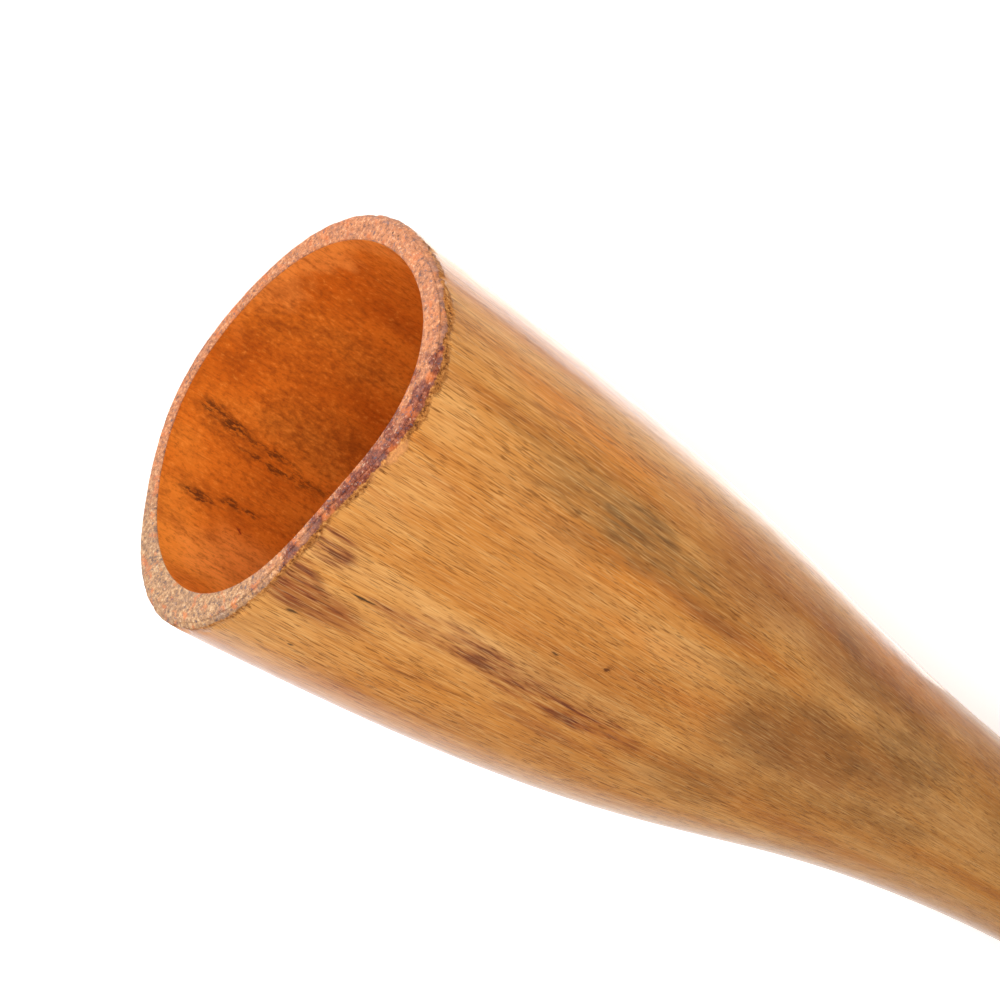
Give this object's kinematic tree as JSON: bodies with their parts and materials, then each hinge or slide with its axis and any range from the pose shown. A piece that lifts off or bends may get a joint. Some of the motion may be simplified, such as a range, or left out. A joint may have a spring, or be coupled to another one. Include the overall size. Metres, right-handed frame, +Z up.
{
  "type": "didgeridoo",
  "caption": "Long hollow wooden wind instrument with a flared oval bell, a sealed bell rim and a round beeswax mouthpiece, lying on its side.",
  "frame": {"origin": "on the surface that the instrument lies on, under the middle of its box", "axes": "+X from the bell to the mouthpiece, +Z up, +Y to the player's right"},
  "size_m": [1.3012, 0.1244, 0.1043],
  "materials": {
    "varnished_wood": "semi-gloss varnish over golden brown streaked wood",
    "glue": "thin dark glue line",
    "rim_seal": "rough speckled coat over end grain",
    "beeswax": "hand-moulded satin wax"
  },
  "bodies": {
    "root": {"upper_shell": "varnished_wood", "lower_shell": "varnished_wood", "left_glue_line": "glue", "right_glue_line": "glue", "rim_seal": "rim_seal", "wax_mouthpiece": "beeswax"}
  },
  "joints": []
}
